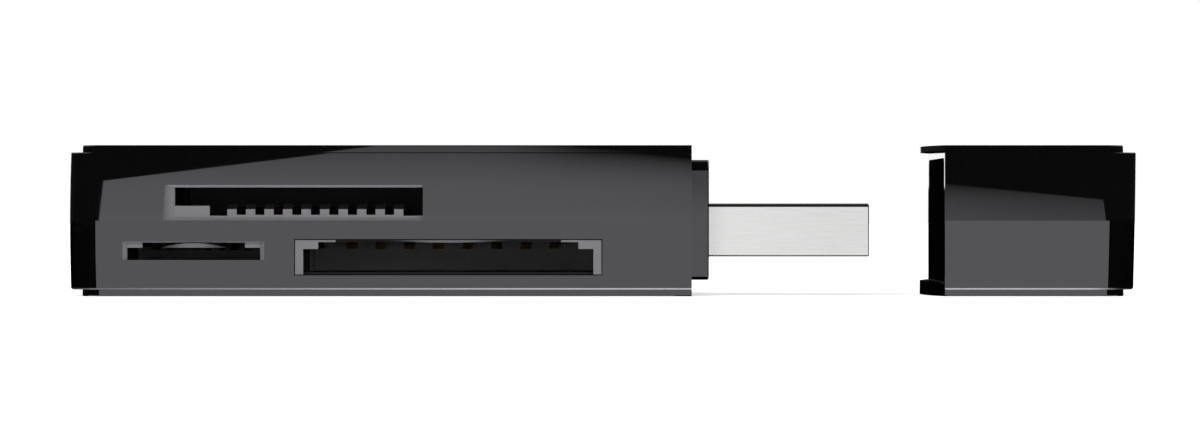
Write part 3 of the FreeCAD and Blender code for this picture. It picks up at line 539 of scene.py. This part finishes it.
LARGE_MIDDLE_X = middle_x("large_card_housing")
SMALL_MIDDLE_X = middle_x("small_card_housing")
STICK_MIDDLE_X = middle_x("stick_card_housing")
SLOT_BOXES = [
    ((STICK_MIDDLE_X - 0.5 * MM, 7.83 * MM), (10.95 * MM, 1.6 * MM)),
    ((LARGE_MIDDLE_X, 3.25 * MM), (12.9 * MM, 1.6 * MM)),
    ((SMALL_MIDDLE_X, 3.8 * MM), (6.0 * MM, 0.9 * MM)),
]
WALL_DEPTH = 1.3 * MM
INSIDE_WALL = 0.3 * MM
FACE_TURN = 0.985
UPPER_SOCKET_Z = 5.5 * MM
# The light line low on the side is a painted highlight: the table as its bevel would mirror it.
HIGHLIGHT_LINE_HEIGHTS = (0.50 * MM, 0.72 * MM)
HIGHLIGHT_LINE_FACING = -0.3
MOUTH_CORNER_X = (28.2 * MM, 28.8 * MM)
MOUTH_CORNER_Z = (1.0 * MM, 1.5 * MM)
FRONT_FACING = -0.9


def slot_walls(tree, x, y, z):
    """1 on the walls of the slots in the near side, 0 on the face around them."""
    inside = 0.0
    for (box_x, box_z), (half_x, half_z) in SLOT_BOXES:
        near_x = calc(tree, "LESS_THAN", calc(tree, "ABSOLUTE", calc(tree, "SUBTRACT", x, box_x)), half_x)
        near_z = calc(tree, "LESS_THAN", calc(tree, "ABSOLUTE", calc(tree, "SUBTRACT", z, box_z)), half_z)
        inside = calc(tree, "MAXIMUM", inside, product(tree, near_x, near_z))
    shallow = calc(tree, "LESS_THAN", y, NEAR_SIDE_Y + WALL_DEPTH)
    turned = calc(tree, "LESS_THAN", calc(tree, "ABSOLUTE", facing(tree)[1]), FACE_TURN)
    recessed = calc(tree, "GREATER_THAN", y, NEAR_SIDE_Y + INSIDE_WALL)
    return product(tree, inside, shallow, calc(tree, "MAXIMUM", turned, recessed))


def painted_highlight_line(tree, z):
    """1 on the narrow bevel low on the side, where the painted highlight line goes, 0 elsewhere."""
    down = calc(tree, "LESS_THAN", facing(tree)[2], HIGHLIGHT_LINE_FACING)
    return product(tree, between(tree, z, HIGHLIGHT_LINE_HEIGHTS), down)


def mouth_corner(tree, x, z):
    """1 in the inner corner low in the cap's mouth, 0 elsewhere and on the side's face."""
    turned = calc(tree, "GREATER_THAN", facing(tree)[1], FRONT_FACING)
    return product(tree, between(tree, x, MOUTH_CORNER_X), between(tree, z, MOUTH_CORNER_Z), turned)


print("middles of the slots in mm:",
      [round(v / MM, 2) for v in (LARGE_MIDDLE_X, SMALL_MIDDLE_X, STICK_MIDDLE_X)])

# %% [markdown]
# The satin places differ in their grey, and some of that grey is painted light and shade. A slot's roof is
# lit only from the table, so it is given a paler grey as painted light. Its sill gets a slightly darker grey
# as painted shade, and the long bevel at the left of the upper slot starts out darker, also as painted
# shade. The light line is a painted highlight. It grows paler towards the right and ends just before the
# cap's far end.

# %% Greys of the satin places
SATIN_GREY = 0.185
# A slot's roof gets a paler grey as painted light, its sill a darker grey as painted shade, and the upper
# slot's left bevel starts darker as painted shade.
ROOF_FACING = -0.3
ROOF_PAINTED_LIGHT_GREY = 0.50
SILL_FACING = 0.3
SILL_PAINTED_SHADE_GREY = 0.157
SIDE_BEVEL_SHADE_SPAN = (-36.9 * MM, -35.9 * MM)
SIDE_BEVEL_SHADE_GREYS = (0.075, 0.172)
# Greys of the painted highlight line, and where they change along the side.
HIGHLIGHT_LINE_GREYS = (0.14, 0.74)
HIGHLIGHT_LINE_SPAN = (-43.0 * MM, -5.0 * MM)
HIGHLIGHT_LINE_RISE = 0.7
HIGHLIGHT_LINE_END = ((40.5 * MM, 43.1 * MM), (1.0, 0.06))
GRAIN_SCALE = 4000.0
GRAIN_SPAN = (0.2, 0.8)
SPECKLE = (0.96, 1.04)


def painted_wall_level(tree, x, z):
    """How pale a slot's wall is painted, by the way it faces: painted light on the roof, and painted shade
    on the sill and at the start of the upper slot's left bevel.
    """
    up = facing(tree)[2]
    bevel = fade(tree, x, SIDE_BEVEL_SHADE_SPAN, SIDE_BEVEL_SHADE_GREYS)
    side = mix(tree, calc(tree, "GREATER_THAN", z, UPPER_SOCKET_Z), SATIN_GREY, bevel)
    level = mix(tree, calc(tree, "LESS_THAN", up, ROOF_FACING), side, ROOF_PAINTED_LIGHT_GREY)
    return mix(tree, calc(tree, "GREATER_THAN", up, SILL_FACING), level, SILL_PAINTED_SHADE_GREY)


def highlight_line_level(tree, x):
    """How pale the painted highlight line is along the side."""
    along = calc(tree, "DIVIDE", calc(tree, "SUBTRACT", x, HIGHLIGHT_LINE_SPAN[0]), HIGHLIGHT_LINE_SPAN[1] - HIGHLIGHT_LINE_SPAN[0])
    along = calc(tree, "MINIMUM", calc(tree, "MAXIMUM", along, 0), 1)
    return product(tree, mix(tree, calc(tree, "POWER", along, HIGHLIGHT_LINE_RISE), *HIGHLIGHT_LINE_GREYS),
                   fade(tree, x, *HIGHLIGHT_LINE_END))


def satin_colour(tree, level, grain):
    """A cool grey with a fine speckle."""
    speckled = calc(tree, "MULTIPLY", level, fade(tree, grain, GRAIN_SPAN, SPECKLE))
    return blend(tree, speckled, grey(0.0), cool_grey(1.0))


# %% [markdown]
# The finish itself puts these together. The neck that carries the plug has the same plastic,
# with a coat that thins towards its top.

# %% Black shell finish
SHELL_BLACK = 0.0012
SHELL_HAZE = 0.0022
HAZE_SCALE = 60.0
GLOSS_SCALE = 220.0
GLOSS_SPAN = (0.3, 0.8)
GLOSS_ROUGHNESS = (0.004, 0.012)
SATIN_ROUGHNESS = 0.4
GLOSS_IOR = 1.55
COAT_ROUGHNESS = 0.004
RIPPLE_SCALE = 90.0
RIPPLE_DEPTH = 0.0002 * MM
NECK_COAT = ((6.3 * MM, 10.5 * MM), (0.85, 0.10))


def gloss_finish(name, with_slots=False, coat_change=None):
    material, tree, shader = new_finish(name)
    place = object_place(tree)
    x, y, z = split(tree, place)
    colour = blend(tree, noise(tree, place, HAZE_SCALE, 2.0), grey(SHELL_BLACK), grey(SHELL_HAZE))
    # The light line low on the side gets a painted highlight's grey.
    line = painted_highlight_line(tree, z)
    colour = blend(tree, line, colour, blend(tree, highlight_line_level(tree, x), grey(0.0), cool_grey(1.0)))
    satin = calc(tree, "MAXIMUM", line, mouth_corner(tree, x, z))
    if with_slots:
        walls = slot_walls(tree, x, y, z)
        grain = noise(tree, place, GRAIN_SCALE)
        # Slot walls take satin grey with painted light and painted shade by the way they face.
        colour = blend(tree, walls, colour, satin_colour(tree, painted_wall_level(tree, x, z), grain))
        satin = calc(tree, "MAXIMUM", satin, walls)
    coat = rest_of(tree, satin)
    if coat_change:
        coat = product(tree, coat, fade(tree, z, *coat_change))
    gloss = fade(tree, noise(tree, place, GLOSS_SCALE, 4.0), GLOSS_SPAN, GLOSS_ROUGHNESS)
    join(tree, colour, shader.inputs["Base Color"])
    join(tree, calc(tree, "MULTIPLY_ADD", satin, SATIN_ROUGHNESS, gloss), shader.inputs["Roughness"])
    join(tree, coat, shader.inputs["Coat Weight"])
    shader.inputs["IOR"].default_value = GLOSS_IOR
    shader.inputs["Coat Roughness"].default_value = COAT_ROUGHNESS
    shader.inputs["Coat IOR"].default_value = GLOSS_IOR
    bump(tree, shader, noise(tree, place, RIPPLE_SCALE, 1.0), RIPPLE_DEPTH)
    return material


def dress(material, *names):
    """Gives CAD nodes one material in place of what they came with."""
    for name in names:
        slots = nodes[name].data.materials
        slots.clear()
        slots.append(material)


shell_gloss = gloss_finish("gloss_black_shell", with_slots=True)
plate_gloss = gloss_finish("gloss_black_plate")
neck_gloss = gloss_finish("gloss_black_neck", coat_change=NECK_COAT)
dress(shell_gloss, "upper_shell", "lower_shell")
dress(plate_gloss, "top_cover_plate", "bottom_cover_plate", "cap_top_plate", "cap_bottom_plate",
      "cap_upper_shell", "cap_lower_shell")
dress(neck_gloss, "plug_collar")
glossy = (shell_gloss, plate_gloss, neck_gloss)
print("glossy pieces:", sum(o.data.materials[0] in glossy for o in nodes.values()))

# %% [markdown]
# ## Socket plastic
#
# The card sockets are moulded in a satin grey plastic, and their noses in the openings show that grey.
# Behind them the grey is painted almost black as painted shade, so that the openings read as deep slots. Far
# inside, the end walls are painted lighter as painted light. The grey follows the depth from the side's
# face: pale noses, a dark way in, and end walls of a middle grey.
#
# The two lower sockets stand closer to the face than the upper one's comb, so their noses end sooner. Each
# of these two has an arched lip overhead with a painted highlight, which fades towards its two thin ends. An
# arch below gives the slot's middle, over what distance from it the painted highlight's grey changes, from
# what to what, and where the lip ends.

# %% Socket finish
LOWER_NOSE_DEPTH = 0.45 * MM
UPPER_NOSE_DEPTH = 1.05 * MM
NOSE_SOFTNESS = 0.3 * MM
# Painted shade in the way in behind the noses, and painted light on the end walls far inside.
END_WALL_DEPTH = 13.0 * MM
LOWER_END_WALL_PAINTED_LIGHT_GREY = 0.50
UPPER_END_WALL_PAINTED_LIGHT_GREY = 0.16
WAY_IN_PAINTED_SHADE_GREY = 0.012
SOCKET_ROUGHNESS = (0.42, 0.55)
SOCKET_GLOSS = 0.2
SOCKET_RELIEF = 0.002 * MM
# Painted highlights on the arched lips over the two lower slots.
LARGE_ARCH_HIGHLIGHT = (LARGE_MIDDLE_X, (1.0 * MM, 5.0 * MM), (0.125, 0.02), 9.3 * MM)
SMALL_ARCH_HIGHLIGHT = (SMALL_MIDDLE_X, (0.3 * MM, 2.9 * MM), (0.137, 0.024), 5.5 * MM)


def nose_level(tree, x, arch):
    """How pale a socket's nose is. An arched lip has its own grey, a painted highlight that fades from its
    middle towards its ends.
    """
    if arch is None:
        return SATIN_GREY
    middle, span, greys, end = arch
    off_middle = calc(tree, "ABSOLUTE", calc(tree, "SUBTRACT", x, middle))
    past_end = calc(tree, "GREATER_THAN", off_middle, end)
    return mix(tree, past_end, fade(tree, off_middle, span, greys), SATIN_GREY)


def socket_finish(name, arch=None):
    """Satin grey by depth, with painted shade in the way in and painted light on the end walls."""
    material, tree, shader = new_finish(name)
    place = object_place(tree)
    x, y, z = split(tree, place)
    depth = calc(tree, "SUBTRACT", y, NEAR_SIDE_Y)
    is_upper = calc(tree, "GREATER_THAN", z, UPPER_SOCKET_Z)
    nose_depth = mix(tree, is_upper, LOWER_NOSE_DEPTH, UPPER_NOSE_DEPTH)
    # From the nose's grey into painted shade in the way in, and to painted light on the end walls.
    into_painted_shade = fade(tree, calc(tree, "SUBTRACT", depth, nose_depth), (0.0, NOSE_SOFTNESS))
    end_wall_painted_light = mix(tree, is_upper, LOWER_END_WALL_PAINTED_LIGHT_GREY, UPPER_END_WALL_PAINTED_LIGHT_GREY)
    inner = mix(tree, calc(tree, "GREATER_THAN", depth, END_WALL_DEPTH), WAY_IN_PAINTED_SHADE_GREY, end_wall_painted_light)
    level = mix(tree, into_painted_shade, nose_level(tree, x, arch), inner)
    grain = noise(tree, place, GRAIN_SCALE)
    join(tree, satin_colour(tree, level, grain), shader.inputs["Base Color"])
    join(tree, fade(tree, grain, GRAIN_SPAN, SOCKET_ROUGHNESS), shader.inputs["Roughness"])
    shader.inputs["Specular IOR Level"].default_value = SOCKET_GLOSS
    bump(tree, shader, grain, SOCKET_RELIEF, 0.6)
    return material


dress(socket_finish("satin_stick_socket"), "stick_card_housing")
dress(socket_finish("satin_large_socket", LARGE_ARCH_HIGHLIGHT), "large_card_housing")
dress(socket_finish("satin_small_socket", SMALL_ARCH_HIGHLIGHT), "small_card_housing")
print("sockets:", [name for name in nodes if name.endswith("_housing")])

# %% [markdown]
# ## Metals
#
# The plug's shell is folded from nickel-plated sheet, with fine rolling lines along it. Nickel is a slightly
# warm metal. Its colour is darkened a little at the neck, as painted shade from the collar, and it grows a
# little darker towards the tip. The shields over the sockets are plain stainless sheet, and all contacts are
# gold-flashed.

# %% Metal finishes
METAL_CLOUD_SCALE = 300.0
ROLLING_SPAN = (0.25, 0.75)
# Painted shade where the plug leaves the collar, then a plain darkening towards the tip.
NICKEL_NECK_SHADE_AND_TIP_DARKENING = [((8.8 * MM, 10.8 * MM), (0.88, 1.0)), ((11.0 * MM, 21.0 * MM), (1.0, 0.94))]


def metal_finish(name, colour, dark_share, roughness, stretch, relief, along=()):
    """Metal sheet. The stretch gives its lines per metre on each axis, and along the places where its colour
    is darkened, with the shares of its colour that it has before and after. On the plug that darkening is
    painted shade at the neck and a plain darkening towards the tip."""
    material, tree, shader = new_finish(name)
    place = object_place(tree)
    lines = noise(tree, place, 1.0, 3.0, 0.6, stretch)
    cloud = noise(tree, place, METAL_CLOUD_SCALE)
    tone = calc(tree, "MULTIPLY", calc(tree, "ADD", lines, cloud), 0.5)
    dark = tuple(part * dark_share for part in colour) + (1.0,)
    tint = blend(tree, tone, dark, colour + (1.0,))
    # Darkens the colour along the given places: on the plug, painted shade at the neck.
    for span, shares in along:
        share = fade(tree, split(tree, place)[0], span, shares)
        tint = blend(tree, share, grey(0.0), tint)
    join(tree, tint, shader.inputs["Base Color"])
    join(tree, fade(tree, lines, ROLLING_SPAN, roughness), shader.inputs["Roughness"])
    shader.inputs["Metallic"].default_value = 1.0
    bump(tree, shader, lines, relief)
    return material


nickel = metal_finish("nickel_plated_sheet", colour=(0.850, 0.862, 0.808), dark_share=0.96,
                      roughness=(0.08, 0.16), stretch=(300, 9000, 9000), relief=0.0002 * MM,
                      along=NICKEL_NECK_SHADE_AND_TIP_DARKENING)
steel = metal_finish("stainless_sheet", colour=(0.58, 0.58, 0.57), dark_share=0.85,
                     roughness=(0.22, 0.36), stretch=(9000, 400, 9000), relief=0.0006 * MM)
gold = metal_finish("gold_flashed_contact", colour=(0.86, 0.63, 0.28), dark_share=0.85,
                    roughness=(0.40, 0.55), stretch=(3000, 900, 3000), relief=0.0003 * MM)
dress(nickel, "plug_shell", "crystal")
dress(steel, "large_card_shield", "small_card_shield", "stick_card_shield")
dress(gold, *[name for name in nodes if "_contact_" in name])
print("contacts:", sum("_contact_" in name for name in nodes))

# %% [markdown]
# ## The board and its parts
#
# The board is green solder mask over copper tracks. A Brick texture with long bricks gives
# tracks that run along the stick and step aside now and then.

# %% Board finish
TRACK_LENGTH = 4.2 * MM
TRACK_PITCH = 0.5 * MM
TRACK_WIDTH = 0.08 * MM
TRACK_GREEN = (0.018, 0.12, 0.05, 1)
BARE_GREENS = ((0.006, 0.045, 0.022, 1), (0.008, 0.06, 0.03, 1))
BOARD_ROUGHNESS = (0.25, 0.4)
TRACK_RELIEF = 0.03 * MM


def board_finish():
    material, tree, shader = new_finish("green_solder_mask")
    place = object_place(tree)
    tracks = add(tree, "ShaderNodeTexBrick", {"Scale": 1.0, "Mortar Size": TRACK_WIDTH, "Mortar Smooth": 0.2,
                                              "Brick Width": TRACK_LENGTH, "Row Height": TRACK_PITCH})
    join(tree, place, tracks.inputs["Vector"])
    grain = noise(tree, place, 2500.0, 4.0)
    bare = blend(tree, grain, *BARE_GREENS)
    join(tree, blend(tree, tracks.outputs["Fac"], bare, TRACK_GREEN), shader.inputs["Base Color"])
    join(tree, fade(tree, grain, GRAIN_SPAN, BOARD_ROUGHNESS), shader.inputs["Roughness"])
    bump(tree, shader, tracks.outputs["Fac"], TRACK_RELIEF, 0.5)
    return material


dress(board_finish(), "circuit_board")
print("tracks per mm:", round(MM / TRACK_PITCH, 1))

# %% [markdown]
# The chip and the regulator are dull moulded packages, the small ceramic blocks are tan, and the
# plug's tongue is a black plastic. They differ only in numbers, so they share one kind of
# finish, and the solder further down has it too.

# %% Grained finishes
def grained_finish(name, scale, colours, roughness, relief, strength=0.5, metallic=0.0):
    """One fine grain that varies the colour, the roughness and the relief together."""
    material, tree, shader = new_finish(name)
    grain = noise(tree, object_place(tree), scale)
    join(tree, blend(tree, grain, *colours), shader.inputs["Base Color"])
    join(tree, fade(tree, grain, GRAIN_SPAN, roughness), shader.inputs["Roughness"])
    shader.inputs["Metallic"].default_value = metallic
    bump(tree, shader, grain, relief, strength)
    return material


package = grained_finish("moulded_package", 9000.0, (grey(0.018), grey(0.034)), (0.55, 0.75), 0.006 * MM,
                         strength=0.6)
ceramic = grained_finish("ceramic_block", 6000.0, ((0.42, 0.30, 0.20, 1), (0.52, 0.38, 0.26, 1)),
                         (0.3, 0.5), 0.003 * MM)
tongue = grained_finish("tongue_plastic", 5000.0, (grey(0.012), grey(0.02)), (0.3, 0.45), 0.002 * MM)
dress(package, "controller_chip", "regulator")
dress(ceramic, *[name for name in nodes if name.startswith(("capacitor", "resistor"))])
dress(tongue, "plug_insulator")
print("finishes so far:", sorted({o.data.materials[0].name for o in nodes.values()}))

# %% [markdown]
# ## Solder
#
# Every contact and lead ends in a foot on the board, and each foot has a small mound of solder
# at its tip. They could be modelled one by one, but they repeat in even rows, and a row is a
# rule: so many, this far apart, this big. Geometry Nodes state that rule once. Each row is the
# same tree with other numbers, read from the contacts themselves, and the rows are joined into
# one plain mesh.

# %% The tree for one row
MOUND_SIDES = 10
MOUND_TOP_SHARE = 0.45
ROW_INPUTS = (("Count", "NodeSocketInt"), ("Start", "NodeSocketVector"), ("Step", "NodeSocketVector"),
              ("Size", "NodeSocketVector"), ("Turn", "NodeSocketVector"), ("Solder", "NodeSocketMaterial"))


def row_tree():
    """Places a tapered mound at each point of a straight row."""
    tree = bpy.data.node_groups.new("solder_row", "GeometryNodeTree")
    for label, kind in ROW_INPUTS:
        tree.interface.new_socket(name=label, in_out="INPUT", socket_type=kind)
    tree.interface.new_socket(name="Geometry", in_out="OUTPUT", socket_type="NodeSocketGeometry")
    given = add(tree, "NodeGroupInput")
    row = add(tree, "GeometryNodeMeshLine", mode="OFFSET")
    mound = add(tree, "GeometryNodeMeshCone", {"Vertices": MOUND_SIDES, "Radius Top": MOUND_TOP_SHARE,
                                               "Radius Bottom": 1.0, "Depth": 1.0})
    turn = add(tree, "FunctionNodeEulerToRotation")
    copies = add(tree, "GeometryNodeInstanceOnPoints")
    real = add(tree, "GeometryNodeRealizeInstances")
    coat = add(tree, "GeometryNodeSetMaterial")
    result = add(tree, "NodeGroupOutput")
    for output, target in (
            (given.outputs["Count"], row.inputs["Count"]),
            (given.outputs["Start"], row.inputs["Start Location"]),
            (given.outputs["Step"], row.inputs["Offset"]),
            (given.outputs["Turn"], turn.inputs[0]),
            (row.outputs["Mesh"], copies.inputs["Points"]),
            (mound.outputs["Mesh"], copies.inputs["Instance"]),
            (turn.outputs[0], copies.inputs["Rotation"]),
            (given.outputs["Size"], copies.inputs["Scale"]),
            (copies.outputs["Instances"], real.inputs["Geometry"]),
            (real.outputs["Geometry"], coat.inputs["Geometry"]),
            (given.outputs["Solder"], coat.inputs["Material"]),
            (coat.outputs["Geometry"], result.inputs["Geometry"])):
        join(tree, output, target)
    return tree


solder_row = row_tree()
print("inputs of a row:", [i.name for i in solder_row.interface.items_tree if i.in_out == "INPUT"])

# %% [markdown]
# A row of contacts is named by its first contact and by how many it has. The plug's four
# contacts make two rows, because the gap in their middle is narrower.

# %% Where the rows are
MOUND_RADIUS = 0.32 * MM
MOUND_HEIGHT = 0.22 * MM
CONTACT_ROWS = (("large_card_contact", 1, 8), ("small_card_contact", 1, 8), ("stick_card_contact", 1, 10),
                ("plug_contact", 1, 2), ("plug_contact", 3, 2))
CHIP_LEADS_ON_A_SIDE = 8
board_low, board_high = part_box("circuit_board")


def contact_row(prefix, first, count):
    """Where a row of contacts meets the board: the start, the step and the side of the board."""
    low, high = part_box("%s_%d" % (prefix, first))
    next_low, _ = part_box("%s_%d" % (prefix, first + 1))
    is_below = low.z < board_low.z
    tip_y = high.y if "card" in prefix else (low.y + high.y) / 2
    tip_x = (low.x + high.x) / 2 if "card" in prefix else low.x
    z = board_low.z if is_below else board_high.z
    return count, Vector((tip_x, tip_y, z)), next_low - low, is_below


def chip_rows():
    """The two rows of the chip's leads."""
    low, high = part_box("controller_chip")
    count = CHIP_LEADS_ON_A_SIDE
    step = Vector((0, (high.y - low.y) / (count + 1), 0))
    return [(count, Vector((x, low.y, board_high.z)) + step, step, False) for x in (low.x, high.x)]


rows = [contact_row(*row) for row in CONTACT_ROWS] + chip_rows()
print("rows:", len(rows), "mounds:", sum(row[0] for row in rows))

# %% [markdown]
# Each row is made on an object of its own, read back as a plain mesh and joined to the others.

# %% Rows of solder
def make_row(count, start, step, is_below, material):
    """One row of mounds as a plain mesh."""
    carrier = bpy.data.objects.new("row", bpy.data.meshes.new("row"))
    bpy.context.scene.collection.objects.link(carrier)
    modifier = carrier.modifiers.new("row", "NODES")
    modifier.node_group = solder_row
    values = {"Count": count, "Start": start, "Step": (step.x, step.y, 0),
              "Size": (MOUND_RADIUS, MOUND_RADIUS, MOUND_HEIGHT),
              "Turn": (math.pi if is_below else 0, 0, 0), "Solder": material}
    for item in solder_row.interface.items_tree:
        if item.in_out == "INPUT":
            modifier[item.identifier] = values[item.name]
    ready = carrier.evaluated_get(bpy.context.evaluated_depsgraph_get())
    mesh = bpy.data.meshes.new_from_object(ready)
    bpy.data.objects.remove(carrier)
    return mesh


def solder_joints(material):
    """All rows in one piece that rides with the reader."""
    joined = bmesh.new()
    for row in rows:
        joined.from_mesh(make_row(*row, material))
    mesh = bpy.data.meshes.new("solder_joints")
    joined.to_mesh(mesh)
    joined.free()
    mesh.materials.append(material)
    piece = bpy.data.objects.new("solder_joints", mesh)
    bpy.context.scene.collection.objects.link(piece)
    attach(piece, "reader")
    return piece


bright_solder = grained_finish("bright_solder", 3000.0, ((0.56, 0.57, 0.58, 1), (0.72, 0.73, 0.74, 1)),
                               (0.18, 0.34), 0.004 * MM, metallic=1.0)
solder = solder_joints(bright_solder)
print("faces of solder:", len(solder.data.polygons))
